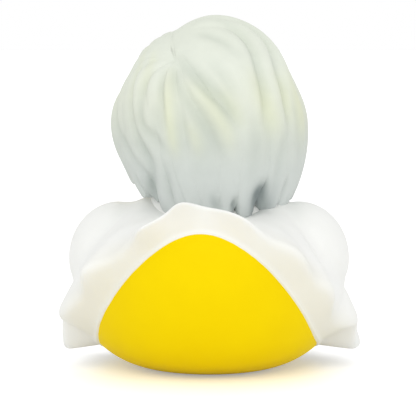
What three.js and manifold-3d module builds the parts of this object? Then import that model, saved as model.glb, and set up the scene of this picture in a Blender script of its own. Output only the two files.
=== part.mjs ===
// A rubber duck in a loose white shirt with a mop of pale hair: one hollow vinyl moulding, painted.
//
// Millimetres, +Z up. The duck stands on the flat of its belly, with the origin at the middle of that
// flat, and faces -Y. A bearing is an angle about +Z that starts at the tail (+Y) and grows towards +X.
import * as THREE from 'three';
import { mergeVertices } from 'three/addons/utils/BufferGeometryUtils.js';
import Module from 'manifold-3d';

const { abs, asin, cos, exp, floor, hypot, max, min, PI, sin, sqrt } = Math;
const { degToRad, euclideanModulo, lerp, radToDeg, smoothstep } = THREE.MathUtils;

// The body, and the flat that it stands on.
const BODY_HALF_WIDTH = 35;
const BODY_REAR = 38;
const BODY_FRONT = 36;
const BODY_TOP = 38;
const BODY_WAIST = 20;
const BASE_HALF_WIDTH = 11.5;

// The tail: where the back starts to sweep up to it, how far it is swept up and back, and how deep it is.
const TAIL_START = 7.6;
const TAIL_LIFT = 14;
const TAIL_REACH = 6;
const TAIL_DEPTH = 28;

// The moulding's wall, the neck inside it, and the air hole in its base, ahead of the origin.
const WALL = 2.5;
const NECK_RADIUS = 12;
const VENT_RADIUS = 1.5;
const VENT_FORWARD = 6;

// The head, and the bill and eyes on it.
const HEAD_RADIUS = 23;
const HEAD_HEIGHT = 66;
const HEAD_FORWARD = 8;
const BILL_HALF_WIDTH = 11;
const BILL_LENGTH = 14;
const BILL_THICKNESS = 9;
const BILL_DROP = 7;
const BILL_CURL = 2;
const MOUTH_DEPTH = 0.9;
const EYE_HEIGHT = 8;
const EYE_WIDTH = 5.6;
const EYE_DEPTH = 3;
const EYE_SPACING = 18;
const EYE_RELIEF = 0.5;

// The shirt: its collar, its shoulders, and the hem that the tail lifts.
const SHIRT_THICKNESS = 1.2;
const COLLAR_RADIUS = 15.5;
const COLLAR_HEIGHT = 45;
const COLLAR_DIP = 4;
const SHOULDER_HEIGHT = 44;
const HEM_HIGH = 39.5;
const HEM_LOW = 6;
const HEM_BAND = 7;
const HEM_DROOP = 1.8;
const HEM_FLARE_REAR = 2;
const HEM_FLARE_SIDE = 8;
const HEM_FLARE_FRONT = 9;
const FLUTE_DEPTH = 6;
const FLUTE_RISE = 2.5;
const RIM_ROUND = 2.4;

// The sleeves, each over a folded wing.
const SLEEVE_HALF_WIDTH = 13.5;
const SLEEVE_HALF_LENGTH = 19;
const SLEEVE_HALF_HEIGHT = 15;
const SLEEVE_HEIGHT = 28.7;
const SLEEVE_FORWARD = 5;
const SLEEVE_STANDOUT = 2.5;

// The hair: how far it stands off the head and hangs below it, the high lobe and the low lobe that are
// swept over from the parting, the flat below the low lobe, how much thicker the hair is at the nape, and
// the relief and the tips of its locks.
const HAIR_DEPTH = 1.6;
const HAIR_TOP = 1.5;
const HAIR_HANG = 10;
const HAIR_LOBE = 2.6;
const HAIR_LOBE_LOW = 1.2;
const HAIR_FLAT = 0.6;
const HAIR_NAPE = 4;
const LOCK_RELIEF = 1.2;
const TIP_LENGTH = 3;

// Where the hem is highest, how far round from there it comes down, how far past that its band closes
// under the shirt and how quickly, in degrees of bearing.
const HEM_PEAK = 3.5;
const HEM_HALF_ANGLE = 79;
const BAND_MARGIN_ANGLE = 13;
const BAND_CLOSING_ANGLE = 12;
// The hem's flutes, in order around it: the bearing of each in degrees, its shares of the full depth and
// of the full rise, and its half width in degrees.
const FLUTES = [
  [10, 1.1, 1, 6],
  [23, 1.15, 0, 6],
  [47, 0.85, 0.8, 5],
  [71, 0.85, 0.2, 13],
  [91, 0.5, 2.4, 10],
  [122, 1, 0, 8],
  [147, 1, 0, 8],
  [172, 1, 0, 8],
  [200, 1, 0, 8],
  [224, 1, 0, 8],
  [244, 1, 0, 8],
  [262, 0.9, 0.8, 9],
  [280, 0.75, -0.2, 10],
  [310, 0.6, 1, 6],
  [326, 0.6, 1.2, 8],
  [350, 1, 0.4, 9],
];
// How quickly the flutes fade up the shirt.
const FLUTE_FADE = 3;
// How far out from the collar to the rim the shoulders reach, at the rear and at the breast.
const SHOULDER_REACH = 0.66;
const BREAST_REACH = 0.85;
// The mouth's groove, in degrees of elevation to each side of the bill's middle.
const MOUTH_SPREAD = 9;

// The parting: the bearing and the elevation of its two ends in degrees, and its half width and depth.
const PARTING_REAR = [31, 43];
const PARTING_FRONT = [150, 58];
const PARTING_HALF_WIDTH = 0.6;
const PARTING_DEPTH = 0.4;
// The valleys between the locks, in order around the head. Each runs down from the parting over two
// points to its end, and has the bearing and the elevation of those three in degrees.
const VALLEYS = [
  [-194, 50, -193, 42, -192, 30],
  [-176, 60, -172, 46, -170, 28],
  [-160, 64, -153, 42, -150, 18],
  [-143, 62, -133, 34, -130, 2],
  [-124, 58, -113, 24, -110, -22],
  [-102, 56, -82, 14, -86, -44],
  [-78, 57, -56, 6, -62, -45],
  [-47, 62, -37, 10, -40, -46],
  [0, 21, -17, -2, -21, -47],
  [14, 19, -3, -8, -9, -50],
  [23, 21, 15, -8, 3, -52],
  [34, 25, 28, 0, 14, -52],
  [47, 25, 34, -9, 26, -52],
  [64, 30, 52, -8, 42, -51],
  [80, 28, 66, -8, 57, -49],
  [98, 30, 82, -4, 74, -38],
  [112, 34, 98, 4, 92, -22],
  [126, 40, 114, 14, 110, -8],
  [138, 46, 130, 22, 129, 4],
  [152, 50, 148, 34, 148, 16],
];
// The width of a lock with the full relief, the share of its length where it gets there, and how round
// it is across.
const LOCK_WIDTH = 20;
const LOCK_START = 0.35;
const LOCK_ROUND = 0.75;
// The bearings where each lobe beside the parting, and the thick hair at the nape, starts, is full, fades
// again and ends.
const LOBE_SPAN = [-190, -140, -75, -5];
const LOBE_LOW_SPAN = [35, 75, 130, 160];
const NAPE_SPAN = [-150, -105, -25, 120];
// The same four places down the locks from the parting, as shares of their length, for each lobe and for
// the flat. The nape's thickness only grows, from the first of its two.
const LOBE_SHARES = [0, 0.15, 0.15, 0.6];
const LOBE_LOW_SHARES = [0, 0.1, 0.1, 0.35];
const FLAT_SHARES = [0.15, 0.35, 0.45, 0.75];
const NAPE_SHARES = [0.6, 1.1];
// How round the hair is over the top, where 2 is an ellipse.
const HAIR_ROUND = 1.85;

// Points on each skin: columns around it, and rows from its bottom to its top.
const BODY_GRID = [48, 20];
const SHIRT_GRID = [90, 19];
const BAND_ROWS = 5;
const RIM_ROWS = 3;
const SLEEVE_GRID = [20, 14];
const LOCK_COLUMNS = 6;
const HAIR_GRID = [LOCK_COLUMNS * VALLEYS.length, 19];
const TIP_ROWS = 4;
const PARTING_ROWS = 2;
const HEAD_GRID = [32, 20];
const BILL_GRID = [24, 14];
const EYE_GRID = [12, 8];
const HOLLOW_GRID = [20, 10];

const headCentre = new THREE.Vector3(0, -HEAD_FORWARD, HEAD_HEIGHT);

// A direction from its bearing and elevation, in degrees.
function direction(bearing, elevation) {
  const turn = degToRad(bearing);
  const level = cos(degToRad(elevation));
  return new THREE.Vector3(level * sin(turn), level * cos(turn), sin(degToRad(elevation)));
}

// How far round it is from one bearing to another, in degrees, from -180 to 180.
function turnBetween(from, to) {
  return euclideanModulo(to - from + 180, 360) - 180;
}

// A point on the bend that leads from one point to another and leans towards a third.
function bend(from, over, to, share) {
  const rest = 1 - share;
  return new THREE.Vector3()
    .addScaledVector(from, rest * rest)
    .addScaledVector(over, 2 * rest * share)
    .addScaledVector(to, share * share);
}

// A closed skin: place(bearing, row) gives its point at a bearing in degrees and in a row. All columns
// meet in row 0, at the bottom, and in the last row, at the top.
function closedSkin([columns, rows], place) {
  const skin = new THREE.SphereGeometry(1, columns, rows);
  const { position } = skin.attributes;
  for (let i = 0; i < position.count; i++) {
    const column = (i % (columns + 1)) % columns;
    const row = floor(i / (columns + 1));
    position.setXYZ(i, ...place((360 * column) / columns, row));
  }
  return skin;
}

// A ball with its poles above and below its centre.
function ball(radius, grid, centre) {
  return new THREE.SphereGeometry(radius, ...grid).rotateX(PI / 2).translate(...centre);
}

// An upright round bar around a point.
function bar(radius, length, sides, x, y, z) {
  return new THREE.CylinderGeometry(radius, radius, length, sides).rotateX(PI / 2).translate(x, y, z);
}

// A point of the body's skin, by bearing and by height before the tail is lifted. An inset point is on
// the inner face of a wall of that thickness.
function bodyPoint(bearing, height, inset = 0) {
  const { x: side, y: back } = direction(bearing, 0);
  const below = height < BODY_WAIST;
  const fromWaist = below ? 1 - height / BODY_WAIST : (height - BODY_WAIST) / (BODY_TOP - BODY_WAIST);
  const bulge = sqrt(max(0, 1 - fromWaist * fromWaist));
  const share = below ? lerp(BASE_HALF_WIDTH / BODY_HALF_WIDTH, 1, bulge) : bulge;
  const length = back > 0 ? BODY_REAR : BODY_FRONT;
  const point = new THREE.Vector3(side * (BODY_HALF_WIDTH - inset), back * (length - inset), 0);
  point.multiplyScalar(share);
  point.z = lerp(inset, BODY_TOP - inset, height / BODY_TOP);
  const narrow = 1 - (point.x / BODY_HALF_WIDTH) ** 2;
  const tail = narrow * smoothstep(point.y, TAIL_START, BODY_REAR) * smoothstep(height, 0, TAIL_DEPTH);
  point.y += TAIL_REACH * tail;
  point.z += TAIL_LIFT * tail;
  return point;
}

// The body: from the middle of its flat base out to the base's edge, then up to the top of its back.
function bodySkin(grid, inset = 0) {
  const climbing = grid[1] - 1;
  return closedSkin(grid, (bearing, row) => {
    if (row === 0) return [0, 0, inset];
    const height = (BODY_TOP * (1 - cos((PI * (row - 1)) / climbing))) / 2;
    return bodyPoint(bearing, height, inset);
  });
}

// The point of the body's skin at a bearing and a real height, found by halving.
function bodyAt(bearing, z) {
  let low = 0;
  let high = TAIL_DEPTH;
  for (let step = 0; step < 20; step++) {
    const height = (low + high) / 2;
    if (bodyPoint(bearing, height).z < z) low = height;
    else high = height;
  }
  return bodyPoint(bearing, low);
}

// How much of its full height the hem has at a bearing: 1 at its peak, and 0 past its span.
function hemLift(bearing) {
  const away = min(1, abs(turnBetween(HEM_PEAK, bearing)) / HEM_HALF_ANGLE);
  return (1 + cos(PI * away)) / 2;
}

// How far the flutes stand out from the rim at a bearing, and up from it where its band is raised.
function fluteAt(bearing, raised) {
  const outward = direction(bearing, 0);
  const flute = new THREE.Vector3();
  for (const [crest, depth, rise, halfAngle] of FLUTES) {
    const share = exp(-((turnBetween(crest, bearing) / halfAngle) ** 2));
    flute.addScaledVector(outward, FLUTE_DEPTH * depth * share);
    flute.z += FLUTE_RISE * rise * share * raised;
  }
  return flute;
}

// The hem at a bearing: its line on the body, the rim of the band that flares out from there, and how far
// the flute there stands out from the rim.
function hemAt(bearing) {
  const outward = direction(bearing, 0);
  const line = bodyAt(bearing, lerp(HEM_LOW, HEM_HIGH, hemLift(bearing)));
  const flareAlong = outward.y > 0 ? HEM_FLARE_REAR : HEM_FLARE_FRONT;
  const rim = line.clone().addScaledVector(outward, lerp(flareAlong, HEM_FLARE_SIDE, outward.x ** 2));
  const beforeClosed = HEM_HALF_ANGLE + BAND_MARGIN_ANGLE - abs(turnBetween(0, bearing));
  const raised = smoothstep(beforeClosed, 0, BAND_CLOSING_ANGLE);
  rim.z += lerp(-HEM_DROOP, HEM_BAND, raised);
  return { line, rim, flute: fluteAt(bearing, raised), outward };
}

// The shirt: inside the body to the hem's line, out along the band, round its rim, and up to the collar.
function shirtSkin(grid) {
  const top = grid[1];
  const drapeStart = BAND_ROWS + RIM_ROWS;
  const inside = new THREE.Vector3(0, 0, BODY_WAIST);
  return closedSkin(grid, (bearing, row) => {
    if (row === 0) return inside;
    if (row === top) return headCentre;
    const { line, rim, flute, outward } = hemAt(bearing);
    const start = line.clone().addScaledVector(outward, -SHIRT_THICKNESS);
    const bandAt = (out) => start.clone().lerp(rim, out).addScaledVector(flute, out * out);
    const collarHeight = COLLAR_HEIGHT - COLLAR_DIP * max(0, outward.y);
    const collar = new THREE.Vector3(0, -HEAD_FORWARD / 2, collarHeight);
    collar.addScaledVector(outward, COLLAR_RADIUS);
    const reach = lerp(SHOULDER_REACH, BREAST_REACH, max(0, -outward.y));
    const shoulder = collar.clone().lerp(rim, reach).setZ(SHOULDER_HEIGHT);
    const drapeAt = (up) => {
      const point = bend(rim, shoulder, collar, up).addScaledVector(flute, (1 - up) ** FLUTE_FADE);
      const clear = point.clone().sub(bodyPoint(bearing, min(point.z, BODY_TOP))).dot(outward);
      return point.addScaledVector(outward, max(0, SHIRT_THICKNESS - clear));
    };
    const tip = bandAt(1);
    const bandEnd = 1 - min(1, RIM_ROUND / tip.distanceTo(start));
    const drapeEnd = RIM_ROUND / tip.distanceTo(collar);
    if (row <= BAND_ROWS) return bandAt((bandEnd * (row - 1)) / (BAND_ROWS - 1));
    if (row < drapeStart) return bend(bandAt(bandEnd), tip, drapeAt(drapeEnd), (row - BAND_ROWS) / RIM_ROWS);
    return drapeAt(lerp(drapeEnd, 1, (row - drapeStart) / (top - 1 - drapeStart)));
  });
}

// A sleeve, on the +X side (1) or the -X side (-1).
function sleeveSkin(side) {
  const sleeve = new THREE.SphereGeometry(1, ...SLEEVE_GRID);
  sleeve.scale(SLEEVE_HALF_WIDTH, SLEEVE_HALF_LENGTH, SLEEVE_HALF_HEIGHT);
  const centre = BODY_HALF_WIDTH + SLEEVE_STANDOUT - SLEEVE_HALF_WIDTH;
  return sleeve.translate(side * centre, -SLEEVE_FORWARD, SLEEVE_HEIGHT);
}

// How far the hair stands from the middle of the head in a direction, before its locks and its lobes.
function hairRadius(way) {
  const level = hypot(way.x, way.y) / (HEAD_RADIUS + HAIR_DEPTH);
  const rise = abs(way.z) / (HEAD_RADIUS + (way.z > 0 ? HAIR_TOP : HAIR_HANG));
  return (level ** HAIR_ROUND + rise ** HAIR_ROUND) ** (-1 / HAIR_ROUND);
}

// How full something is at a value, by the values where it starts, is full, fades again and ends.
function spanShare(value, [start, full, fade, end]) {
  return smoothstep(value, start, full) * (1 - smoothstep(value, fade, end));
}

// The direction of a point in the parting: 0 of the way out from its middle to its edge, or up to 1, where
// a line of hair leaves it, by the bearing of that line's end.
function partingPoint(bearing, out) {
  const rear = direction(...PARTING_REAR);
  const front = direction(...PARTING_FRONT);
  const middle = rear.clone().add(front).divideScalar(2);
  const along = rear.clone().sub(front).divideScalar(2);
  const aside = along.clone().cross(middle).setLength(PARTING_HALF_WIDTH / HEAD_RADIUS);
  const turn = degToRad(bearing - PARTING_REAR[0]);
  return middle.addScaledVector(along, out * cos(turn)).addScaledVector(aside, out * sin(turn)).normalize();
}

// The hair: from inside the collar out to the locks' tips, up each lock to the parting, and down into it.
function hairSkin(grid) {
  const last = grid[1] - PARTING_ROWS;
  const root = headCentre.clone().setZ(COLLAR_HEIGHT);
  return closedSkin(grid, (around, row) => {
    const column = Math.round((around * grid[0]) / 360);
    const lock = floor(column / LOCK_COLUMNS);
    const across = (column % LOCK_COLUMNS) / LOCK_COLUMNS;
    const from = VALLEYS[lock];
    const to = VALLEYS[lock + 1] ?? VALLEYS[0].map((value, i) => value + (i % 2 ? 0 : 360));
    const line = from.map((value, i) => lerp(value, to[i], across));
    const [overTurn, over, pastTurn, past, bearing, edge] = line;
    if (row > last) {
      const bottom = partingPoint(bearing, (grid[1] - row) / PARTING_ROWS);
      return bottom.multiplyScalar(hairRadius(bottom) - PARTING_DEPTH).add(headCentre);
    }
    const ridge = sin(PI * across) ** LOCK_ROUND;
    const way = new THREE.CatmullRomCurve3([
      partingPoint(bearing, 1),
      direction(overTurn, over),
      direction(pastTurn, past),
      direction(bearing, edge - ridge * radToDeg(TIP_LENGTH / HEAD_RADIUS)),
    ], false, 'catmullrom');
    const down = min(1, (last - row) / (last - TIP_ROWS));
    const point = way.getPoint(down).normalize();
    const low = spanShare(bearing, LOBE_LOW_SPAN);
    let reach = hairRadius(point);
    reach += ((LOCK_RELIEF * ridge * (to[4] - from[4])) / LOCK_WIDTH) * smoothstep(down, 0, LOCK_START);
    reach += HAIR_LOBE * spanShare(bearing, LOBE_SPAN) * spanShare(down, LOBE_SHARES);
    reach += HAIR_LOBE_LOW * low * spanShare(down, LOBE_LOW_SHARES);
    reach -= HAIR_FLAT * low * spanShare(down, FLAT_SHARES);
    reach += HAIR_NAPE * spanShare(bearing, NAPE_SPAN) * smoothstep(down, ...NAPE_SHARES);
    point.multiplyScalar(reach).add(headCentre);
    return point.lerp(root, max(0, 1 - row / TIP_ROWS));
  });
}

// The bill: broad and flat, with its mouth a groove around its middle, and its tip turned up.
function billSkin(grid) {
  return closedSkin(grid, (bearing, row) => {
    const elevation = (180 * row) / grid[1] - 90;
    const way = direction(bearing, elevation);
    const groove = MOUTH_DEPTH * exp(-((elevation / MOUTH_SPREAD) ** 2));
    const x = way.x * (BILL_HALF_WIDTH - groove);
    const y = way.y * (BILL_LENGTH - groove);
    const z = (way.z * BILL_THICKNESS) / 2 + BILL_CURL * (y / BILL_LENGTH) ** 2 - BILL_DROP;
    return [x, y - HEAD_RADIUS - HEAD_FORWARD, z + HEAD_HEIGHT];
  });
}

// An eye: a low oval on the face, on the +X side (1) or the -X side (-1).
function eyeSkin(side) {
  const eye = new THREE.SphereGeometry(1, ...EYE_GRID);
  eye.scale(EYE_WIDTH / 2, EYE_HEIGHT / 2, EYE_DEPTH);
  eye.translate(0, 0, HEAD_RADIUS + EYE_RELIEF - EYE_DEPTH);
  eye.rotateX(PI / 2).rotateZ(side * asin(EYE_SPACING / 2 / HEAD_RADIUS));
  return eye.translate(...headCentre);
}

const wasm = await Module();
wasm.setup();

// A closed geometry as a solid that can be joined and cut, and that keeps track of its own faces.
function solidOf(geometry) {
  geometry.deleteAttribute('normal');
  geometry.deleteAttribute('uv');
  const { attributes, index } = mergeVertices(geometry);
  const triVerts = new Uint32Array(index.array);
  const mesh = new wasm.Mesh({ numProp: 3, vertProperties: attributes.position.array, triVerts });
  return new wasm.Manifold(mesh).asOriginal();
}

// The hollow inside the wall: body, neck and head, with the air hole down through the base.
function hollowSolid() {
  const [sides] = HOLLOW_GRID;
  const neckLength = HEAD_HEIGHT - BODY_WAIST;
  const neckMiddle = BODY_WAIST + neckLength / 2;
  return solidOf(bodySkin(HOLLOW_GRID, WALL))
    .add(solidOf(ball(HEAD_RADIUS - WALL, HOLLOW_GRID, headCentre)))
    .add(solidOf(bar(NECK_RADIUS - WALL, neckLength, sides, 0, -HEAD_FORWARD / 2, neckMiddle)))
    .add(solidOf(bar(VENT_RADIUS, 4 * WALL, sides, 0, -VENT_FORWARD, 0)));
}

// The paints, and the forms that each one covers.
const paint = (color, roughness) => new THREE.MeshStandardMaterial({ color, roughness, metalness: 0 });
const PAINTED = [
  [paint(0xf9d900, 0.35), bodySkin(BODY_GRID), ball(HEAD_RADIUS, HEAD_GRID, headCentre)],
  [paint(0xf4f5f0, 0.5), shirtSkin(SHIRT_GRID), sleeveSkin(1), sleeveSkin(-1)],
  [paint(0xdee3d2, 0.5), hairSkin(HAIR_GRID)],
  [paint(0xf08a1c, 0.35), billSkin(BILL_GRID)],
  [paint(0x1c1a18, 0.3), eyeSkin(1), eyeSkin(-1)],
];

// The moulding: all the forms joined and hollowed, with each one's faces in its own paint.
function moulding() {
  const paintOf = new Map();
  const solids = PAINTED.flatMap(([, ...skins], index) => skins.map((skin) => {
    const solid = solidOf(skin);
    paintOf.set(solid.originalID(), index);
    return solid;
  }));
  const duck = solids.reduce((joined, solid) => joined.add(solid)).subtract(hollowSolid());
  const { vertProperties, triVerts, runIndex, runOriginalID } = duck.getMesh();
  const geometry = new THREE.BufferGeometry();
  geometry.setAttribute('position', new THREE.BufferAttribute(vertProperties, 3));
  geometry.setIndex(new THREE.BufferAttribute(triVerts, 1));
  runOriginalID.forEach((id, run) => {
    geometry.addGroup(runIndex[run], runIndex[run + 1] - runIndex[run], paintOf.get(id) ?? 0);
  });
  geometry.computeVertexNormals();
  const mesh = new THREE.Mesh(geometry, PAINTED.map(([material]) => material));
  mesh.name = 'duck';
  return mesh;
}

const duckGroup = new THREE.Group();
duckGroup.add(moulding());

export default duckGroup;
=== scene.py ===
"""The looks of a rubber duck in a loose white shirt with a mop of pale hair.

The duck is one hollow vinyl moulding. Its forms are made here as fine closed skins, joined into one solid,
hollowed and painted. Sizes are in millimetres until a mesh is made. +Z is up, the bill points along -Y, and
a bearing is an angle about +Z that starts at the tail (+Y) and grows towards +X.
"""

import math

import bpy
import numpy as np
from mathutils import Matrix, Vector
from mathutils.kdtree import KDTree


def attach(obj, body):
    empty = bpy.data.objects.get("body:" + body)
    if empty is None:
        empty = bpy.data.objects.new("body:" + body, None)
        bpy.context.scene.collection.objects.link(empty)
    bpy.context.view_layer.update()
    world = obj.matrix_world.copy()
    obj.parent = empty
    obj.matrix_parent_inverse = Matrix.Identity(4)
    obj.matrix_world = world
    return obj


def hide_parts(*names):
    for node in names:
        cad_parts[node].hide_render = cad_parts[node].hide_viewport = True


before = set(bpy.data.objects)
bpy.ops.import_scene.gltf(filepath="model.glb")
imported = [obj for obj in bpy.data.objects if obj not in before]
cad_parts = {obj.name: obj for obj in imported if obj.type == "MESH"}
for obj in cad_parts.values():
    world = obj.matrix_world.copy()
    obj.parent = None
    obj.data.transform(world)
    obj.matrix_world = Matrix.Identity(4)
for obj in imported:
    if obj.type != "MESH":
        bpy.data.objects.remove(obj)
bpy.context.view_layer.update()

MM = 0.001

# The body, and the flat that it stands on.
BODY_HALF_WIDTH = 35
BODY_REAR = 38
BODY_FRONT = 36
BODY_TOP = 38
BODY_WAIST = 20
BASE_HALF_WIDTH = 11.5

# The tail: where the back starts to sweep up to it, how far it is swept up and back, and how deep it is.
TAIL_START = 7.6
TAIL_LIFT = 14
TAIL_REACH = 6
TAIL_DEPTH = 28

# The moulding's wall, the neck inside it, and the air hole in its base, ahead of the origin.
WALL = 2.5
NECK_RADIUS = 12
VENT_RADIUS = 1.5
VENT_FORWARD = 6

# The head, how far its back is tucked in under the hair, and the bill and eyes on it. The mouth's spread is
# in degrees of elevation to each side of the bill's middle.
HEAD_RADIUS = 23
HEAD_HEIGHT = 66
HEAD_FORWARD = 8
HEAD_TUCK = 1.8
HEAD_CENTRE = np.array([0, -HEAD_FORWARD, HEAD_HEIGHT], float)
BILL_HALF_WIDTH = 11
BILL_LENGTH = 14
BILL_THICKNESS = 9
BILL_DROP = 7
BILL_CURL = 2
MOUTH_DEPTH = 0.9
MOUTH_SPREAD = 7
EYE_HEIGHT = 8
EYE_WIDTH = 5.6
EYE_DEPTH = 3
EYE_SPACING = 18
EYE_RELIEF = 0.5

# The shirt: its thickness, its collar, its shoulders, and the hem that the tail lifts. The hem's band starts
# inset in the body. The shoulders and the breast reach a share of the way from the collar to the rim.
SHIRT_THICKNESS = 1.2
HEM_INSET = 0.5
COLLAR_RADIUS = 15.5
COLLAR_HEIGHT = 45
COLLAR_DIP = 5.5
SHOULDER_HEIGHT = 44
SHOULDER_REACH = 0.66
BREAST_REACH = 0.85
HEM_HIGH = 39.5
HEM_LOW = 6
HEM_BAND = 7
HEM_DROOP = 1.8
HEM_FLARE_REAR = 2
HEM_FLARE_SIDE = 8
HEM_FLARE_FRONT = 9
RIM_ROUND = 2.4
# Where the hem is highest, how far round from there it comes down, how far past that its band hangs, and
# over what angle the band turns to hang, in degrees of bearing.
HEM_PEAK = 3.5
HEM_HALF_ANGLE = 79
BAND_MARGIN_ANGLE = 13
BAND_CLOSING_ANGLE = 12
# The hem's flutes, in order around it: how far they stand out and up in full, then the bearing of each in
# degrees, its shares of that depth and of that rise, and its half width in degrees.
FLUTE_DEPTH = 6
FLUTE_RISE = 2.5
FLUTES = [
    [10, 1.1, 1, 6],
    [23, 1.15, 0, 6],
    [47, 0.85, 0.8, 5],
    [71, 0.85, 0.2, 13],
    [91, 0.5, 2.4, 10],
    [122, 1, 0, 8],
    [147, 1, 0, 8],
    [172, 1, 0, 8],
    [200, 1, 0, 8],
    [224, 1, 0, 8],
    [244, 1, 0, 8],
    [262, 0.9, 0.8, 9],
    [280, 0.75, -0.2, 10],
    [310, 0.6, 1, 6],
    [326, 0.6, 1.2, 8],
    [350, 1, 0.4, 9],
]
# The power by which the flutes fade up the shirt.
FLUTE_FADE = 3
# The lip along the hem's line: how proud it stands, how tall it is, and how far inward of the line its
# middle lies, as a share of that height.
LIP_PROUD = 0.5
LIP_HEIGHT = 0.7
LIP_DROP = 0.4

# The sleeves, each over a folded wing, and how their seam with the shirt is softened: how far from it, in
# how many rounds, and how strongly in each.
SLEEVE_HALF_WIDTH = 13.5
SLEEVE_HALF_LENGTH = 19
SLEEVE_HALF_HEIGHT = 15
SLEEVE_HEIGHT = 28.7
SLEEVE_FORWARD = 5
SLEEVE_STANDOUT = 2.5
SLEEVE_BLEND = 4
SLEEVE_ROUNDS = 60
SLEEVE_SOFTENING = 0.5

# The hair: how far it stands off the head and hangs below it, the power that rounds it, which is 2 for an
# ellipse, the high lobe and the low lobe that are swept over from the parting, the flat below the low lobe,
# and how much thicker the hair is at the nape.
HAIR_DEPTH = 1.6
HAIR_TOP = 1.5
HAIR_HANG = 10
HAIR_ROUND = 1.85
HAIR_LOBE = 2.6
HAIR_LOBE_LOW = 1.2
HAIR_FLAT = 0.6
HAIR_NAPE = 4
# The bearings where each lobe, and the thick hair at the nape, starts, is full, fades again and ends.
LOBE_SPAN = (-190, -140, -75, -5)
LOBE_LOW_SPAN = (35, 75, 130, 160)
NAPE_SPAN = (-150, -105, -25, 90)
# The same four places down the locks from the parting, as shares of their length, for each lobe and for the
# flat. The hair at the nape only grows thicker, from one place to another.
LOBE_SHARES = (-0.1, 0.15, 0.15, 0.6)
LOBE_LOW_SHARES = (-0.1, 0.05, 0.1, 0.35)
FLAT_SHARES = (0.15, 0.35, 0.45, 0.75)
NAPE_SHARES = (0.6, 1.1)
# The locks: their full relief, the width in degrees of a lock that has it, the share of its length where it
# gets there, and how round it is across. Between two places further down, it is calmed to a share of itself.
LOCK_RELIEF = 1.2
LOCK_WIDTH = 20
LOCK_START = 0.35
LOCK_ROUND = 0.9
LOCK_CALM = 0.5
CALM_SHARES = (0.4, 0.7)
# Their tips: how long they are, and how round.
TIP_LENGTH = 3
TIP_ROUND = 0.5
# How many times the hair's relief is smoothed.
RELIEF_ROUNDS = 2
# The parting: the bearing and the elevation of its two ends in degrees, its half width, and where its inner
# rows of points lie, from its edge (1) to its middle (0).
PARTING_REAR = (31, 43)
PARTING_FRONT = (150, 58)
PARTING_HALF_WIDTH = 0.6
PARTING_SHARES = (0.75, 0.5, 0.25, 0)
# The valleys between the locks, in order around the head. Each runs down from the parting over two points
# to its end, and has the bearing and the elevation of those three in degrees.
VALLEYS = np.array([
    [-194, 50, -193, 42, -192, 30],
    [-176, 60, -172, 46, -170, 28],
    [-160, 64, -153, 42, -150, 18],
    [-143, 62, -133, 34, -130, 2],
    [-124, 58, -113, 24, -110, -22],
    [-102, 56, -82, 14, -86, -44],
    [-78, 57, -56, 6, -62, -45],
    [-47, 62, -37, 10, -42, -46],
    [0, 21, -17, -2, -21, -47],
    [14, 19, -3, -8, -9, -50],
    [23, 21, 15, -8, 3, -52],
    [34, 25, 28, 0, 14, -52],
    [47, 25, 34, -9, 26, -50],
    [64, 30, 52, -8, 48, -46],
    [80, 28, 66, -8, 60, -42],
    [98, 30, 82, -4, 74, -38],
    [112, 34, 98, 4, 92, -22],
    [126, 40, 114, 14, 110, -8],
    [138, 46, 130, 22, 129, 4],
    [152, 50, 148, 34, 148, 16],
], float)

# The gaps between the tips: the shares of the locks' length where they start and are full, then how deep the
# gap at the end of each valley is, and its half width in degrees.
GAP_SHARES = (0.9, 0.945)
TIP_GAPS = np.array([
    [1.0, 2.0],
    [1.2, 2.2],
    [1.0, 2.0],
    [1.4, 2.0],
    [1.0, 2.0],
    [1.6, 2.0],
    [2.4, 1.6],
    [0.6, 2.0],
    [0.5, 1.2],
    [0.4, 1.4],
    [0.4, 1.4],
    [0.4, 1.4],
    [1.4, 1.2],
    [0.6, 2.0],
    [1.2, 2.0],
    [1.6, 2.0],
    [1.6, 2.0],
    [1.2, 2.0],
    [1.4, 2.2],
    [1.0, 2.0],
])
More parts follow.
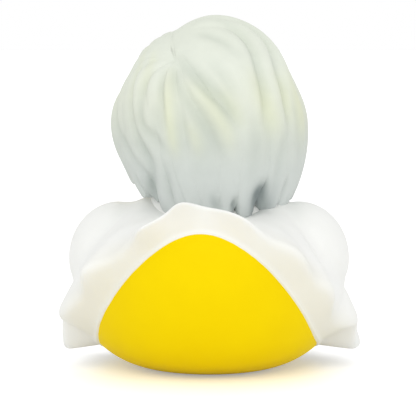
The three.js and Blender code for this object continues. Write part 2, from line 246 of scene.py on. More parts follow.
# Creases pressed into the locks and between their tips, and ridges raised on them: depth, below 0 for a
# ridge, and half width, then the bearings and elevations along each in degrees.
CREASES = [
    (2.6, 2.0, [(29, 43), (10, 30), (-1, 20), (-7, 14), (-11, 8), (-15, 0)]),
    (1.5, 2.0, [(27, 38), (25, 31), (17, 17), (8, 6), (2, -4), (-3, -13), (-8, -22)]),
    (0.7, 1.4, [(23, 18), (18, 5), (16, -7), (13, -20)]),
    (1.2, 1.3, [(15, 65), (-2, 61), (-12, 56), (-24, 43)]),
    (1.1, 1.2, [(2, 42), (-9, 30), (-14, 23), (-17, 14)]),
    (1.4, 1.5, [(-30, 78), (-47, 64), (-43, 48), (-39, 33), (-38, 21), (-37, 12), (-34, 0)]),
    (1.3, 1.5, [(-85, 70), (-78, 55), (-60, 34), (-57, 20), (-55, 8), (-55, -4)]),
    (0.8, 1.2, [(37, 36), (34, 25), (32, 16), (30, 6)]),
    (1.1, 1.2, [(48, 30), (48, 18), (47, 8), (44, -3), (35, -10), (22, -21)]),
    (0.7, 1.3, [(66, 34), (60, 18), (56, 3), (50, -10), (38, -26)]),
    (0.6, 1.5, [(35, 14), (32, 3), (28, -8)]),
    (0.9, 1.3, [(84, 8), (79, -5), (66, -16), (54, -28), (46, -36)]),
    (1.4, 1.6, [(52, -10), (46, -18), (41, -27), (43, -42)]),
    (0.7, 2.4, [(17, 6), (19, -6), (17, -22)]),
    (0.8, 3.6, [(10, 12), (4, -4), (2, -15), (4, -28)]),
    (0.8, 1.8, [(-28, 0), (-29, -14), (-27, -34)]),
    (0.6, 1.8, [(-38, 8), (-38, -8), (-40, -26)]),
    (0.8, 1.6, [(-50, -8), (-48, -24), (-48, -42)]),
    (0.6, 1.6, [(-66, 14), (-66, 0), (-68, -24)]),
    (0.8, 1.2, [(28, -26), (29, -36), (30, -46)]),
    (3.0, 1.9, [(-36, -38), (-37, -42), (-40, -47), (-45, -52), (-51, -60)]),
    (2.4, 0.6, [(-17, -44), (-18, -47), (-20, -50), (-24, -60)]),
    (1.0, 0.8, [(-2, -42), (-4, -46), (-6, -50), (-8, -60)]),
    (2.0, 1.8, [(45, -34), (47, -39), (50, -45), (55, -51), (61, -60)]),
    (-0.6, 0.9, [(33, 38), (29, 20), (26, 6), (24, -6)]),
    (-0.4, 1.0, [(45, 31), (43, 18), (39, 4), (34, -6)]),
    (-0.6, 1.2, [(0, 44), (-17, 34), (-23, 23), (-24, 6)]),
    (-0.5, 1.2, [(-36, 28), (-33, 8), (-31, -14)]),
    (-0.5, 1.2, [(-54, 24), (-51, 4), (-51, -10)]),
    (-0.7, 1.6, [(20, 38), (0, 22), (-12, 2), (-16, -14)]),
    (-1.3, 3.5, [(94, 16), (92, 0), (90, -12), (88, -22)]),
]
# Yellow strokes brushed over the hair: strength and half width, then the bearings and elevations along each.
STROKES = [
    (0.9, 1.5, [(31, 33), (27, 16), (25, 4), (23, -10), (21, -18)]),
    (0.9, 3.0, [(-33, 30), (-36, 16), (-39, 5), (-41, -5)]),
    (0.8, 3.0, [(-57, 30), (-57, 16), (-57, 2)]),
    (1.0, 4.0, [(-72, 25), (-74, 8), (-72, -4)]),
    (0.7, 2.0, [(14, 25), (2, 14), (-5, 4), (-10, -5), (-12, -14)]),
    (0.5, 1.8, [(-8, 20), (-15, 9), (-19, -1)]),
    (0.5, 1.6, [(13, -1), (9, -9), (6, -18)]),
    (0.5, 1.6, [(56, 46), (50, 34), (48, 18)]),
    (0.4, 1.6, [(78, 52), (66, 34), (60, 14)]),
]
# Painted shade, a dull grey, in the hollows between the tips, in the same way.
SHADES = [
    (1.0, 2.2, [(-36, -37), (-38, -43), (-43, -54)]),
    (0.4, 2.6, [(-44, -39), (-47, -46), (-50, -57)]),
    (0.15, 2.6, [(49, -33), (49, -40), (52, -54)]),
    (0.4, 0.6, [(-17, -43), (-21, -57)]),
    (0.25, 1.0, [(-2, -40), (-6, -54)]),
]
# Every such line is strongest at its middle: the shares of its length past which it fades no further, and
# the power by which it fades.
LINE_ENDS = (0.02, 0.98)
LINE_FADE = 0.5

# Colours of the hair between two heights, from its tips at 0 to its crown at 1, of the strokes on it, of the
# darkening in its creases, which is partly its paint and partly painted shade, and of the painted shade in
# the hollows between its tips.
HAIR_COLOUR_HEIGHTS = (42, 90)
HAIR_COLOURS = [
    (0.0, (0.645, 0.68, 0.667)),
    (0.23, (0.62, 0.658, 0.624)),
    (0.38, (0.63, 0.668, 0.607)),
    (0.5, (0.675, 0.711, 0.623)),
    (0.62, (0.725, 0.757, 0.657)),
    (0.8, (0.752, 0.788, 0.698)),
    (1.0, (0.748, 0.785, 0.69)),
]
STROKE_COLOUR = (0.745, 0.775, 0.54)
CREASE_COLOUR = (0.84, 0.86, 0.85)
SHADE_COLOUR = (0.5, 0.53, 0.56)
# How strongly the strokes are coloured, and the creases with their partly painted shade.
STROKE_SHARE = 0.6
CREASE_SHARE = 0.6
# Painted bounce light and shade on the hem's band: a cream tint that stands in for yellow light thrown onto
# the band from the body. Its colour, how far from the hem's line it starts to fade and ends, and the heights
# between which it fades, stronger lower down.
PAINTED_BOUNCE_COLOUR = (0.94, 0.925, 0.865)
PAINTED_BOUNCE_REACH = (5, 13)
PAINTED_BOUNCE_HEIGHTS = (30, 44)
# The slow mottle of the paints: the detail of its noise, and the part of the noise's range that it spans.
# For the hair, that part, the features per metre, and the share of the colour that the darkest places keep.
MOTTLE_DETAIL = 3
MOTTLE_SPAN = (0.35, 0.65)
HAIR_MOTTLE_SPAN = (0.3, 0.7)
HAIR_MOTTLE_SCALE = 260
HAIR_MOTTLE_LOW = 0.97
# The fine grain in the paints: its features per metre, the detail of its noise, and its depth.
GRAIN_SCALE = 2500
GRAIN_DETAIL = 2
GRAIN_DEPTH = 0.03

# The floor, the camera and the lights. Lengths are in metres here, and the elevation is in degrees.
FLOOR_SIZE = 6
FLOOR_COLOUR = (0.95, 0.95, 0.95, 1)
FLOOR_LIFT = 0.3
CAMERA_AIM = (0.000265, 0, 0.0424)
CAMERA_DISTANCE = 0.7
CAMERA_ELEVATION = 5
CAMERA_LENS = 228.2
KEY_PLACE = (0.2, 1.2, 0.7)
KEY_SIZE = (0.9, 0.9)
KEY_POWER = 1.8
FILL_PLACE = (-0.2, 1.1, 0.16)
FILL_SIZE = (1.4, 0.28)
FILL_POWER = 1.8
LIGHT_AIM = (0, 0, 0.045)
ROOM_LIGHT = 0.93
WHITE_LIGHT = (1, 1, 1, 1)

# Points on each skin: columns around it, and rows from its bottom to its top.
BODY_GRID = (200, 100)
SHIRT_COLUMNS = 360
BAND_ROWS = 30
RIM_ROWS = 9
DRAPE_ROWS = 56
SLEEVE_GRID = (96, 64)
HEAD_GRID = (96, 64)
LOCK_COLUMNS = 16
TIP_ROWS = 8
HAIR_ROWS = 90
BILL_GRID = (96, 49)
EYE_GRID = (48, 25)
HOLLOW_BODY_GRID = (64, 32)
HOLLOW_HEAD_GRID = (48, 32)
NECK_COLUMNS = 48
VENT_COLUMNS = 32
# Steps taken to find a height on the body, to find where the hem's band leaves it, and along a hair's line.
HALVINGS = 30
BAND_STEPS = 60
LINE_STEPS = 40
# The angle between two faces, in degrees, from which their edge is sharp.
SHARP_ANGLE = 40

# The order of the paints on the moulding.
PAINTS = 5
YELLOW, WHITE, HAIR, ORANGE, BLACK = range(PAINTS)


def smoothstep(value, low, high):
    share = np.clip((np.asarray(value, float) - low) / (high - low), 0, 1)
    return share * share * (3 - 2 * share)


def mix(low, high, share):
    return low + (high - low) * share


def unit(vectors):
    return vectors / np.linalg.norm(vectors, axis=-1, keepdims=True)


def bearings(columns):
    return np.arange(columns) * 360 / columns


def direction(bearing, elevation):
    """A direction from its bearing and elevation, in degrees."""
    turn, rise = np.radians(bearing), np.radians(elevation)
    level = np.cos(rise)
    return np.stack(np.broadcast_arrays(level * np.sin(turn), level * np.cos(turn), np.sin(rise)), -1)


def turn_between(start, end):
    """How far round it is from one bearing to another, in degrees, from -180 to 180."""
    return (end - start + 180) % 360 - 180


def bend(start, over, end, share):
    """Points on the bend that leads from one point to another and leans towards a third."""
    rest = 1 - share
    return start * rest * rest + over * 2 * rest * share + end * share * share


def body_point(bearing, height, inset=0):
    """Points of the body's skin, by bearing and by height before the tail is lifted."""
    way = direction(bearing, 0)
    height = np.broadcast_to(np.asarray(height, float), way.shape[:-1])
    below = height < BODY_WAIST
    from_waist = np.where(below, 1 - height / BODY_WAIST, (height - BODY_WAIST) / (BODY_TOP - BODY_WAIST))
    bulge = np.sqrt(np.clip(1 - from_waist**2, 0, 1))
    share = np.where(below, mix(BASE_HALF_WIDTH / BODY_HALF_WIDTH, 1, bulge), bulge)
    length = np.where(way[..., 1] > 0, BODY_REAR, BODY_FRONT)
    x = share * (BODY_HALF_WIDTH - inset) * way[..., 0]
    y = share * (length - inset) * way[..., 1]
    z = mix(inset, BODY_TOP - inset, height / BODY_TOP)
    tail = 1 - (x / BODY_HALF_WIDTH) ** 2
    tail = tail * smoothstep(y, TAIL_START, BODY_REAR) * smoothstep(height, 0, TAIL_DEPTH)
    return np.stack([x, y + TAIL_REACH * tail, z + TAIL_LIFT * tail], -1)


def body_at(bearing, z):
    """The points of the body's skin at some bearings and real heights, found by halving."""
    low = np.zeros_like(z)
    high = np.full_like(z, TAIL_DEPTH)
    for _ in range(HALVINGS):
        height = (low + high) / 2
        short = body_point(bearing, height)[..., 2] < z
        low = np.where(short, height, low)
        high = np.where(short, high, height)
    return body_point(bearing, low)


def body_rows(columns, rows, inset=0):
    """The body's skin: from the middle of its flat base out to the base's edge, then up to its back."""
    around = bearings(columns)
    heights = BODY_TOP * (1 - np.cos(np.pi * np.arange(rows) / (rows - 1))) / 2
    base = np.tile([0.0, 0.0, inset], (columns, 1))
    return [base] + [body_point(around, height, inset) for height in heights]


def hem_at(bearing):
    """The hem's line on the body, the rim of its band, and how far its flutes stand out from the rim."""
    outward = direction(bearing, 0)
    away = np.clip(abs(turn_between(HEM_PEAK, bearing)) / HEM_HALF_ANGLE, 0, 1)
    line = body_at(bearing, mix(HEM_LOW, HEM_HIGH, (1 + np.cos(np.pi * away)) / 2))
    flare = np.where(outward[:, 1] > 0, HEM_FLARE_REAR, HEM_FLARE_FRONT)
    flare = mix(flare, HEM_FLARE_SIDE, outward[:, 0] ** 2)
    before_closed = HEM_HALF_ANGLE + BAND_MARGIN_ANGLE - abs(turn_between(0, bearing))
    raised = smoothstep(before_closed, 0, BAND_CLOSING_ANGLE)
    rim = line + outward * flare[:, None]
    rim[:, 2] += mix(-HEM_DROOP, HEM_BAND, raised)
    flute = np.zeros_like(rim)
    for crest, depth, rise, half_angle in FLUTES:
        share = np.exp(-((turn_between(crest, bearing) / half_angle) ** 2))
        flute += outward * (FLUTE_DEPTH * depth * share)[:, None]
        flute[:, 2] += FLUTE_RISE * rise * share * raised
    return line, rim, flute, outward


def shirt_rows():
    """The shirt's skin: from inside the body to the hem's lip, out along the band, and up to the collar."""
    around = bearings(SHIRT_COLUMNS)
    line, rim, flute, outward = hem_at(around)
    start = line - outward * HEM_INSET
    collar = outward * COLLAR_RADIUS
    collar[:, 1] -= HEAD_FORWARD / 2
    collar[:, 2] = COLLAR_HEIGHT - COLLAR_DIP * np.clip(outward[:, 1], 0, 1)
    reach = mix(SHOULDER_REACH, BREAST_REACH, np.clip(-outward[:, 1], 0, 1))
    shoulder = mix(collar, rim, reach[:, None])
    shoulder[:, 2] = SHOULDER_HEIGHT

    def band_at(out):
        return mix(start, rim, out) + flute * out**2

    def drape_at(up):
        point = bend(rim, shoulder, collar, up) + flute * (1 - up) ** FLUTE_FADE
        body = body_point(around, np.minimum(point[:, 2], BODY_TOP))
        clear = ((point - body) * outward).sum(1)
        return point + outward * np.clip(SHIRT_THICKNESS - clear, 0, None)[:, None]

    outs = np.linspace(0, 1, BAND_STEPS)
    band = np.array([band_at(out) for out in outs])
    wall = np.array([body_at(around, row[:, 2]) for row in band])
    exit_out = outs[np.argmax(((band - wall) * outward).sum(-1) > 0, axis=0)]
    along = unit(rim - start)
    facing = outward * along[:, 2:] - np.array([0, 0, 1]) * (along * outward).sum(1, keepdims=True)

    def lipped(out):
        away = (out - exit_out[:, None]) * np.linalg.norm(rim - start, axis=1, keepdims=True)
        return band_at(out) + facing * LIP_PROUD * np.exp(-((away / LIP_HEIGHT + LIP_DROP) ** 2))

    tip = rim + flute
    band_end = 1 - np.minimum(1, RIM_ROUND / np.linalg.norm(tip - start, axis=1))[:, None]
    drape_end = RIM_ROUND / np.linalg.norm(tip - collar, axis=1)[:, None]
    rows = [np.tile([0.0, 0.0, BODY_WAIST], (SHIRT_COLUMNS, 1)), line - outward * SHIRT_THICKNESS * 2]
    rows += [lipped(band_end * out) for out in np.linspace(0, 1, BAND_ROWS)]
    ends = band_at(band_end), drape_at(drape_end)
    rows += [bend(ends[0], tip, ends[1], turn) for turn in np.linspace(0, 1, RIM_ROWS)[1:-1]]
    rows += [drape_at(mix(drape_end, 1, up)) for up in np.linspace(0, 1, DRAPE_ROWS)]
    rows.append(np.tile(HEAD_CENTRE, (SHIRT_COLUMNS, 1)))
    return rows


def ball_rows(columns, rows, centre, size):
    """An ellipsoid's skin, with its poles above and below its centre."""
    around = bearings(columns)
    return [centre + direction(around, elevation) * size for elevation in np.linspace(-90, 90, rows)]


def head_rows():
    """The head's skin, tucked in at the back, under the hair."""
    made = []
    for row in ball_rows(*HEAD_GRID, np.zeros(3), HEAD_RADIUS):
        tuck = HEAD_TUCK / HEAD_RADIUS * smoothstep(row[:, 1:2], 0, HEAD_RADIUS / 2)
        made.append(HEAD_CENTRE + row * (1 - tuck))
    return made


def sleeve_rows(side):
    """A sleeve's skin, on the +X side (1) or the -X side (-1)."""
    out = BODY_HALF_WIDTH + SLEEVE_STANDOUT - SLEEVE_HALF_WIDTH
    size = [SLEEVE_HALF_WIDTH, SLEEVE_HALF_LENGTH, SLEEVE_HALF_HEIGHT]
    return ball_rows(*SLEEVE_GRID, [side * out, -SLEEVE_FORWARD, SLEEVE_HEIGHT], size)


def span_share(value, span):
    """How full something is at some values, by the values where it starts, is full, fades and ends."""
    start, full, fade, end = span
    return smoothstep(value, start, full) * (1 - smoothstep(value, fade, end))


def parting_point(bearing, out):
    """Directions of points from the parting's middle (0) to its edge (1), by the bearing of a line's end."""
    rear, front = direction(*PARTING_REAR), direction(*PARTING_FRONT)
    middle, along = (rear + front) / 2, (rear - front) / 2
    aside = unit(np.cross(along, middle)) * PARTING_HALF_WIDTH / HEAD_RADIUS
    turn = np.radians(bearing - PARTING_REAR[0])[:, None]
    return unit(middle + along * out * np.cos(turn) + aside * out * np.sin(turn))


def parting_rise(bearing, out, edge_rise):
    """How far points in the parting stand up: level with its two edges, from how far those do."""
    turn = bearing - PARTING_REAR[0]
    along, across = out * np.cos(np.radians(turn)), out * np.sin(np.radians(turn))
    beside = np.arccos(along)
    left, right = (np.interp(side * np.degrees(beside), turn, edge_rise, period=360) for side in (1, -1))
    return mix(right, left, (1 + across / np.sin(beside)) / 2)


def smooth_curve(points, share):
    """A point on the smooth curve through some points, from the first (0) to the last (1)."""
    points = [2 * points[0] - points[1], *points, 2 * points[-1] - points[-2]]
    place = share * (len(points) - 3)
    first = min(int(place), len(points) - 4)
    part = place - first
    before, here, after, beyond = points[first:first + 4]
    leave, arrive = (after - before) / 2, (beyond - here) / 2
    curve = (2 * here - 2 * after + leave + arrive) * part**3
    curve += (-3 * here + 3 * after - 2 * leave - arrive) * part**2
    return curve + leave * part + here


def hair_radius(way):
    """How far the hair stands from the middle of the head in some directions, before its locks."""
    level = np.hypot(way[:, 0], way[:, 1]) / (HEAD_RADIUS + HAIR_DEPTH)
    rise = abs(way[:, 2]) / (HEAD_RADIUS + np.where(way[:, 2] > 0, HAIR_TOP, HAIR_HANG))
    return (level**HAIR_ROUND + rise**HAIR_ROUND) ** (-1 / HAIR_ROUND)


def stroke_share(ways, line, half_width):
    """How much of a soft stroke along a line on the head there is in some directions, from 0 to 1."""
    stops = [direction(*stop) for stop in line]
    along = np.linspace(0, 1, LINE_STEPS)
    path = unit(np.array([smooth_curve(stops, share) for share in along]))
    ends = np.sin(np.pi * np.clip(along, *LINE_ENDS)) ** LINE_FADE
    away = np.arccos(np.clip(ways @ path.T, -1, 1)) * HEAD_RADIUS / half_width
    return (np.exp(-(away**2)) * ends).max(-1)


def soft(field, rounds):
    """A field of values by row and column, smoothed. The columns go around, and the end rows stay."""
    for _ in range(rounds):
        field = (np.roll(field, 1, 1) + 2 * field + np.roll(field, -1, 1)) / 4
        field[1:-1] = (field[:-2] + 2 * field[1:-1] + field[2:]) / 4
    return field


def hair_rows():
    """The hair's skin: from inside the collar to the locks' tips, up the locks, and across the parting."""
    lines = np.concatenate([VALLEYS, VALLEYS[:1] + [360, 0, 360, 0, 360, 0]])
    lock = np.repeat(np.arange(len(VALLEYS)), LOCK_COLUMNS)
    across = np.tile(np.arange(LOCK_COLUMNS) / LOCK_COLUMNS, len(VALLEYS))
    over_turn, over, past_turn, past, around, edge = mix(lines[lock], lines[lock + 1], across[:, None]).T
    width = np.diff(lines[:, 4])[lock]
    ridge = np.sin(np.pi * across) ** LOCK_ROUND
    tip = np.degrees(TIP_LENGTH / HEAD_RADIUS) * np.sin(np.pi * across) ** TIP_ROUND
    way = [
        parting_point(around, 1),
        direction(over_turn, over),
        direction(past_turn, past),
        direction(around, edge - tip),
    ]
    high, low = span_share(around, LOBE_SPAN), span_share(around, LOBE_LOW_SPAN)
    nape = span_share(around, NAPE_SPAN)
    downs = np.linspace(1, 0, HAIR_ROWS)[:, None]
    out = np.array([unit(smooth_curve(way, down)) for down in downs[:, 0]])
    calm = mix(1, LOCK_CALM, smoothstep(downs, *CALM_SHARES))
    relief = LOCK_RELIEF * ridge * width / LOCK_WIDTH * smoothstep(downs, 0, LOCK_START) * calm
    gaps = np.concatenate([TIP_GAPS, TIP_GAPS[:1]])[np.where(across < 0.5, lock, lock + 1)]
    aside = np.minimum(across, 1 - across) * width / gaps[:, 1]
    relief = relief - gaps[:, 0] * np.exp(-(aside**2)) * smoothstep(downs, *GAP_SHARES)
    relief = relief + HAIR_LOBE * high * span_share(downs, LOBE_SHARES)
    relief = relief + HAIR_LOBE_LOW * low * span_share(downs, LOBE_LOW_SHARES)
    relief = relief - HAIR_FLAT * low * span_share(downs, FLAT_SHARES)
    relief = relief + HAIR_NAPE * nape * smoothstep(downs, *NAPE_SHARES)
    for depth, half_width, line in CREASES:
        relief = relief - depth * stroke_share(out, line, half_width)
    reach = np.array([hair_radius(row) for row in out]) + soft(relief, RELIEF_ROUNDS)
    made = list(HEAD_CENTRE + out * reach[..., None])
    root = np.array([0, -HEAD_FORWARD, COLLAR_HEIGHT])
    under = [mix(root, made[0], share) for share in np.linspace(0, 1, TIP_ROWS + 1)[:-1]]
    rise = reach[-1] - hair_radius(out[-1])
    for share in PARTING_SHARES:
        inner = parting_point(around, share)
        made.append(HEAD_CENTRE + inner * (hair_radius(inner) + parting_rise(around, share, rise))[:, None])
    return under + made


def bill_rows(columns, rows):
    """The bill's skin: broad and flat, with its mouth a groove around its middle and its tip turned up."""
    around = bearings(columns)
    made = []
    for elevation in np.linspace(-90, 90, rows):
        way = direction(around, elevation)
        groove = MOUTH_DEPTH * math.exp(-((elevation / MOUTH_SPREAD) ** 2))
        x = way[:, 0] * (BILL_HALF_WIDTH - groove)
        y = way[:, 1] * (BILL_LENGTH - groove)
        z = way[:, 2] * BILL_THICKNESS / 2 + BILL_CURL * (y / BILL_LENGTH) ** 2 - BILL_DROP
        made.append(np.stack([x, y - HEAD_RADIUS - HEAD_FORWARD, z + HEAD_HEIGHT], -1))
    return made


def bar_rows(columns, radius, low, high, forward):
    """An upright round bar's skin between two heights."""
    ring = direction(bearings(columns), 0) * radius - [0, forward, 0]
    middle = np.tile([0.0, -forward, 0.0], (columns, 1))
    return [ends + [0, 0, z] for ends, z in ((middle, low), (ring, low), (ring, high), (middle, high))]


def eye_rows(columns, rows, side):
    """An eye's skin: a low oval on the face, on the +X side (1) or the -X side (-1)."""
    turn = side * math.asin(EYE_SPACING / 2 / HEAD_RADIUS)
    out = np.array([math.sin(turn), -math.cos(turn), 0])
    across = np.array([math.cos(turn), math.sin(turn), 0])
    made = []
    for row in ball_rows(columns, rows, np.zeros(3), [EYE_WIDTH / 2, EYE_DEPTH, EYE_HEIGHT / 2]):
        depth = HEAD_RADIUS + EYE_RELIEF - EYE_DEPTH - row[:, 1:2]
        made.append(HEAD_CENTRE + across * row[:, 0:1] + out * depth + [0, 0, 1] * row[:, 2:3])
    return made


def skin_object(name, rows, paint, materials):
    """A closed mesh from rows of points. All columns meet in the first row and in the last."""
    columns = len(rows[0])
    middle = np.concatenate(rows[1:-1])
    points = np.concatenate([rows[0][:1], middle, rows[-1][:1]]) * MM
    last = len(points) - 1
    faces = []
    for j in range(columns):
        k = (j + 1) % columns
        faces.append((0, 1 + j, 1 + k))
        for i in range(len(rows) - 3):
            low, high = 1 + i * columns, 1 + (i + 1) * columns
            faces.append((low + k, low + j, high + j, high + k))
        low = 1 + (len(rows) - 3) * columns
        faces.append((low + k, low + j, last))
    mesh = bpy.data.meshes.new(name)
    mesh.from_pydata(points.tolist(), [], faces)
    for material in materials:
        mesh.materials.append(material)
    mesh.polygons.foreach_set("material_index", np.full(len(faces), paint, dtype=np.int32))
    made = bpy.data.objects.new(name, mesh)
    bpy.context.scene.collection.objects.link(made)
    return made


def combine(target, tools, operation):
    """Joins some closed objects to another, or cuts them from it, and deletes them."""
    for tool in tools:
        step = target.modifiers.new("combine", "BOOLEAN")
        step.operation = operation
        step.solver = "MANIFOLD"
        step.material_mode = "INDEX"
        step.object = tool
    graph = bpy.context.evaluated_depsgraph_get()
    mesh = bpy.data.meshes.new_from_object(target.evaluated_get(graph))
    target.modifiers.clear()
    target.data = mesh
    for tool in tools:
        bpy.data.objects.remove(tool)


def mesh_points(mesh):
    points = np.empty(len(mesh.vertices) * 3)
    mesh.vertices.foreach_get("co", points)
    return points.reshape(-1, 3)


def seam_distance(mesh, first, second):
    """How far each point of a mesh is from where faces in two paints meet, in millimetres."""
    paints = np.zeros((len(mesh.vertices), PAINTS), bool)
    for face in mesh.polygons:
        paints[list(face.vertices), face.material_index] = True
    points = mesh_points(mesh)
    seam = points[paints[:, first] & paints[:, second]]
    tree = KDTree(len(seam))
    for index, point in enumerate(seam):
        tree.insert(point, index)
    tree.balance()
    return np.array([tree.find(point)[2] for point in points]) / MM


def soften_seam(mesh, first, second):
    """Rounds the crease between the sleeves and the shirt, which is where faces in two paints meet."""
    points = mesh_points(mesh)
    close = smoothstep(-seam_distance(mesh, first, second), -SLEEVE_BLEND, 0)
    weight = close[:, None] * SLEEVE_SOFTENING
    ends = np.empty(len(mesh.edges) * 2, dtype=np.int32)
    mesh.edges.foreach_get("vertices", ends)
    start, end = ends.reshape(-1, 2).T
    count = np.bincount(ends, minlength=len(points))[:, None]
    for _ in range(SLEEVE_ROUNDS):
        total = np.zeros_like(points)
        np.add.at(total, start, points[end])
        np.add.at(total, end, points[start])
        points += (total / count - points) * weight
    mesh.vertices.foreach_set("co", points.ravel())


def set_layer(mesh, name, values):
    """Keeps a value for each point of a mesh, for its paints to read."""
    layer = mesh.attributes.new(name, "FLOAT", "POINT")
    layer.data.foreach_set("value", values.astype(np.float32))


def colour_hair(mesh):
    """Says how strongly the strokes, the creases, partly painted shade, and the painted shade in the hollows
    colour each point, for the hair's paint.
    """
    ways = unit(mesh_points(mesh) / MM - HEAD_CENTRE)
    stroke = np.max([share * stroke_share(ways, line, width) for share, width, line in STROKES], axis=0)
    # The deeper a crease, the darker the hair there: partly its paint, partly painted shade.
    crease = np.max([depth * stroke_share(ways, line, width) for depth, width, line in CREASES], axis=0)
    # Painted shade in the hollows between the tips.
    shade = np.max([share * stroke_share(ways, line, width) for share, width, line in SHADES], axis=0)
    set_layer(mesh, "stroke", stroke * STROKE_SHARE)
    set_layer(mesh, "crease", crease * CREASE_SHARE)
    set_layer(mesh, "shade", shade)


def colour_band(mesh):
    """Says how much painted bounce light and shade, a cream tint, each point takes for the shirt's paint:
    along the band of the hem, beside the tail.
    """
    points = mesh_points(mesh) / MM
    painted_bounce = smoothstep(-seam_distance(mesh, YELLOW, WHITE), -PAINTED_BOUNCE_REACH[1], -PAINTED_BOUNCE_REACH[0])
    painted_bounce = painted_bounce * smoothstep(-points[:, 2], -PAINTED_BOUNCE_HEIGHTS[1], -PAINTED_BOUNCE_HEIGHTS[0])
    set_layer(mesh, "painted_bounce", painted_bounce * smoothstep(points[:, 1], 0, TAIL_START))


def moulding(materials):
    """The duck: all its forms joined into one solid and hollowed, with each one's faces in its paint."""
    shirt = skin_object("shirt", shirt_rows(), WHITE, materials)
    # The sleeves are black only until their seam with the shirt has been found and softened.
    sleeves = [skin_object("sleeve", sleeve_rows(side), BLACK, materials) for side in (1, -1)]
    combine(shirt, sleeves, "UNION")
    soften_seam(shirt.data, WHITE, BLACK)
    shirt.data.polygons.foreach_set(
        "material_index", np.full(len(shirt.data.polygons), WHITE, dtype=np.int32)
    )
    duck = skin_object("duck_moulding", body_rows(*BODY_GRID), YELLOW, materials)
    forms = [
        shirt,
        skin_object("head", head_rows(), YELLOW, materials),
        skin_object("hair", hair_rows(), HAIR, materials),
        skin_object("bill", bill_rows(*BILL_GRID), ORANGE, materials),
    ]
    forms += [skin_object("eye", eye_rows(*EYE_GRID, side), BLACK, materials) for side in (1, -1)]
    combine(duck, forms, "UNION")
    hollows = [
        body_rows(*HOLLOW_BODY_GRID, WALL),
        ball_rows(*HOLLOW_HEAD_GRID, HEAD_CENTRE, HEAD_RADIUS - WALL),
        bar_rows(NECK_COLUMNS, NECK_RADIUS - WALL, BODY_WAIST, HEAD_HEIGHT, HEAD_FORWARD / 2),
        bar_rows(VENT_COLUMNS, VENT_RADIUS, -2 * WALL, 2 * WALL, VENT_FORWARD),
    ]
    combine(duck, [skin_object("hollow", rows, YELLOW, materials) for rows in hollows], "DIFFERENCE")
    return duck


def new_material(name, roughness, specular):
    """A material with a plain shader, and that shader and the node tree it is in."""
    material = bpy.data.materials.new(name)
    material.use_nodes = True
    shader = material.node_tree.nodes["Principled BSDF"]
    shader.inputs["Roughness"].default_value = roughness
    shader.inputs["Specular IOR Level"].default_value = specular
    return material, material.node_tree, shader


def add_noise(tree, scale, detail):
    """Noise over the object, with features of about 1 / scale metres."""
    where = tree.nodes.new("ShaderNodeTexCoord")
    noise = tree.nodes.new("ShaderNodeTexNoise")
    noise.inputs["Scale"].default_value = scale
    noise.inputs["Detail"].default_value = detail
    tree.links.new(where.outputs["Object"], noise.inputs["Vector"])
    return noise.outputs["Fac"]


def add_range(tree, value, low, high, start, end):
    """A value carried from one range to another, and kept inside it."""
    node = tree.nodes.new("ShaderNodeMapRange")
    tree.links.new(value, node.inputs["Value"])
    for name, number in (("From Min", low), ("From Max", high), ("To Min", start), ("To Max", end)):
        node.inputs[name].default_value = number
    return node.outputs["Result"]


def add_ramp(tree, value, stops):
    """A colour for each value, from stops of a place and a colour."""
    ramp = tree.nodes.new("ShaderNodeValToRGB")
    elements = ramp.color_ramp.elements
    while len(elements) < len(stops):
        elements.new(0.5)
    for element, (place, colour) in zip(elements, stops):
        element.position = place
        element.color = (*colour, 1)
    tree.links.new(value, ramp.inputs["Fac"])
    return ramp.outputs["Color"]


def add_mix(tree, share, first, second, blend="MIX"):
    """Two colours mixed by a share. The share and the second colour are a socket or plain values."""
    node = tree.nodes.new("ShaderNodeMix")
    node.data_type = "RGBA"
    node.blend_type = blend
    tree.links.new(first, node.inputs["A"])
    for name, value in (("Factor", share), ("B", second)):
        socket = next(each for each in node.inputs if each.name == name and each.enabled)
        if isinstance(value, bpy.types.NodeSocket):
            tree.links.new(value, socket)
        else:
            socket.default_value = value
    return next(each for each in node.outputs if each.enabled)


def add_grain(tree, shader, strength):
    """A fine grain in a shader's surface."""
    bump = tree.nodes.new("ShaderNodeBump")
    bump.inputs["Strength"].default_value = strength
    bump.inputs["Distance"].default_value = GRAIN_DEPTH * MM
    tree.links.new(add_noise(tree, GRAIN_SCALE, GRAIN_DETAIL), bump.inputs["Height"])
    tree.links.new(bump.outputs["Normal"], shader.inputs["Normal"])


def add_height(tree, low, high):
    """How high a point is on the object, as a share of the way from one height to another in millimetres."""
    where = tree.nodes.new("ShaderNodeTexCoord")
    split = tree.nodes.new("ShaderNodeSeparateXYZ")
    tree.links.new(where.outputs["Object"], split.inputs["Vector"])
    return add_range(tree, split.outputs["Z"], low * MM, high * MM, 0, 1)


def add_attribute(tree, name):
    node = tree.nodes.new("ShaderNodeAttribute")
    node.attribute_name = name
    return node.outputs["Fac"]


def add_seen(tree):
    """1 for a ray that the camera sends, straight or by way of a mirror or a glass, and 0 for any other."""
    ray = tree.nodes.new("ShaderNodeLightPath")
    seen = ray.outputs["Is Camera Ray"]
    for kind in ("Is Glossy Ray", "Is Transmission Ray"):
        either = tree.nodes.new("ShaderNodeMath")
        either.operation = "MAXIMUM"
        tree.links.new(seen, either.inputs[0])
        tree.links.new(ray.outputs[kind], either.inputs[1])
        seen = either.outputs["Value"]
    return seen


def mottled(name, first, second, roughness, specular, scale, grain, tint=None):
    """A paint that wanders between two close colours, with a fine grain. Its tint is painted bounce light on
    the hem's band.
    """
    material, tree, shader = new_material(name, roughness, specular)
    low, high = MOTTLE_SPAN
    noise = add_noise(tree, scale, MOTTLE_DETAIL)
    colour = add_ramp(tree, noise, [(low, first), (high, second)])
    if tint:
        # Painted bounce light and shade: the band is tinted cream near the yellow body and lower down.
        colour = add_mix(tree, add_attribute(tree, "painted_bounce"), colour, (*tint, 1), "MULTIPLY")
    tree.links.new(colour, shader.inputs["Base Color"])
    add_grain(tree, shader, grain)
    return material


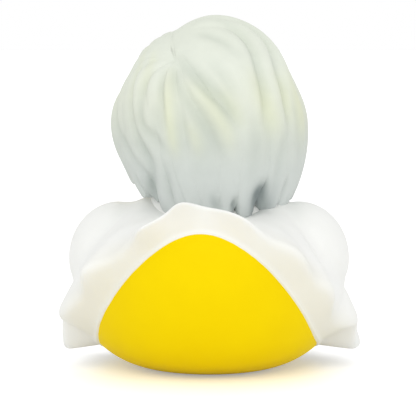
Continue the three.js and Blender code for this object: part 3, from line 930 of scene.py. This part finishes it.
def hair_paint(name, roughness, specular, grain):
    """The hair's paint: cream at the crown, grey at the tips, brushed with yellow, darkened in the creases
    partly as painted shade, and with painted shade in the gaps.
    """
    material, tree, shader = new_material(name, roughness, specular)
    colour = add_ramp(tree, add_height(tree, *HAIR_COLOUR_HEIGHTS), HAIR_COLOURS)
    colour = add_mix(tree, add_attribute(tree, "stroke"), colour, (*STROKE_COLOUR, 1))
    # Darker in the creases: partly the hair's paint, partly painted shade.
    colour = add_mix(tree, add_attribute(tree, "crease"), colour, (*CREASE_COLOUR, 1), "MULTIPLY")
    # Painted shade in the hollows between the tips.
    colour = add_mix(tree, add_attribute(tree, "shade"), colour, (*SHADE_COLOUR, 1), "MULTIPLY")
    noise = add_noise(tree, HAIR_MOTTLE_SCALE, MOTTLE_DETAIL)
    mottle = add_range(tree, noise, *HAIR_MOTTLE_SPAN, HAIR_MOTTLE_LOW, 1)
    colour = add_mix(tree, 1, colour, mottle, "MULTIPLY")
    tree.links.new(colour, shader.inputs["Base Color"])
    add_grain(tree, shader, grain)
    return material


def soft_light(name, place, size, power):
    """A broad light that faces the duck."""
    data = bpy.data.lights.new(name, "AREA")
    data.shape = "RECTANGLE"
    data.size, data.size_y = size
    data.energy = power
    light = bpy.data.objects.new(name, data)
    light.location = place
    light.rotation_euler = (Vector(LIGHT_AIM) - Vector(place)).to_track_quat("-Z", "Y").to_euler()
    bpy.context.scene.collection.objects.link(light)


# The paints, in their order on the moulding.
materials = [
    mottled(
        "yellow_vinyl", (0.88, 0.645, 0.0), (0.9, 0.67, 0.0),
        roughness=0.55, specular=0.04, scale=60, grain=0.2,
    ),
    mottled(
        "white_paint", (0.872, 0.877, 0.85), (0.892, 0.897, 0.872),
        roughness=0.55, specular=0.15, scale=90, grain=0.25, tint=PAINTED_BOUNCE_COLOUR,
    ),
    hair_paint("hair_paint", roughness=0.6, specular=0.12, grain=0.25),
    mottled(
        "orange_paint", (0.84, 0.23, 0.012), (0.88, 0.265, 0.016),
        roughness=0.45, specular=0.3, scale=90, grain=0.2,
    ),
    mottled(
        "black_paint", (0.011, 0.01, 0.009), (0.015, 0.013, 0.012),
        roughness=0.2, specular=0.5, scale=90, grain=0.1,
    ),
]

# The duck.
duck = moulding(materials)
duck.data.polygons.foreach_set("use_smooth", np.ones(len(duck.data.polygons), bool))
duck.data.set_sharp_from_angle(angle=math.radians(SHARP_ANGLE))
# Painted shade in the hair's creases, partly its paint, and in the hollows between its tips.
colour_hair(duck.data)
# Painted bounce light and shade on the hem's band.
colour_band(duck.data)
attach(duck, "root")
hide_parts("duck")

# The floor: pale, lifted to white where it is seen, straight or mirrored, with the duck's shadow on it.
bpy.ops.mesh.primitive_plane_add(size=FLOOR_SIZE)
floor = bpy.context.object
floor.name = "floor"
floor_material, floor_tree, floor_shader = new_material("floor", roughness=0.9, specular=0.1)
floor_shader.inputs["Base Color"].default_value = FLOOR_COLOUR
floor_shader.inputs["Emission Color"].default_value = WHITE_LIGHT
floor_lift = add_range(floor_tree, add_seen(floor_tree), 0, 1, 0, FLOOR_LIFT)
floor_tree.links.new(floor_lift, floor_shader.inputs["Emission Strength"])
floor.data.materials.append(floor_material)

# The camera, at the photograph's angle.
camera_data = bpy.data.cameras.new("camera")
camera = bpy.data.objects.new("camera", camera_data)
bpy.context.scene.collection.objects.link(camera)
elevation = math.radians(CAMERA_ELEVATION)
back = Vector((0, math.cos(elevation), math.sin(elevation)))
camera.location = Vector(CAMERA_AIM) + back * CAMERA_DISTANCE
camera.rotation_euler = (-back).to_track_quat("-Z", "Y").to_euler()
camera_data.lens = CAMERA_LENS
bpy.context.scene.camera = camera

# The lights: one above and one low, both behind the camera.
soft_light("key", KEY_PLACE, KEY_SIZE, KEY_POWER)
soft_light("fill", FILL_PLACE, FILL_SIZE, FILL_POWER)

# The room: white where it is seen, straight or mirrored, and dimmer as a light.
world = bpy.data.worlds.new("world")
world.use_nodes = True
world_tree = world.node_tree
background = world_tree.nodes["Background"]
background.inputs["Color"].default_value = WHITE_LIGHT
room_light = add_range(world_tree, add_seen(world_tree), 0, 1, ROOM_LIGHT, 1)
world_tree.links.new(room_light, background.inputs["Strength"])
bpy.context.scene.world = world
bpy.context.scene.view_settings.view_transform = "Standard"
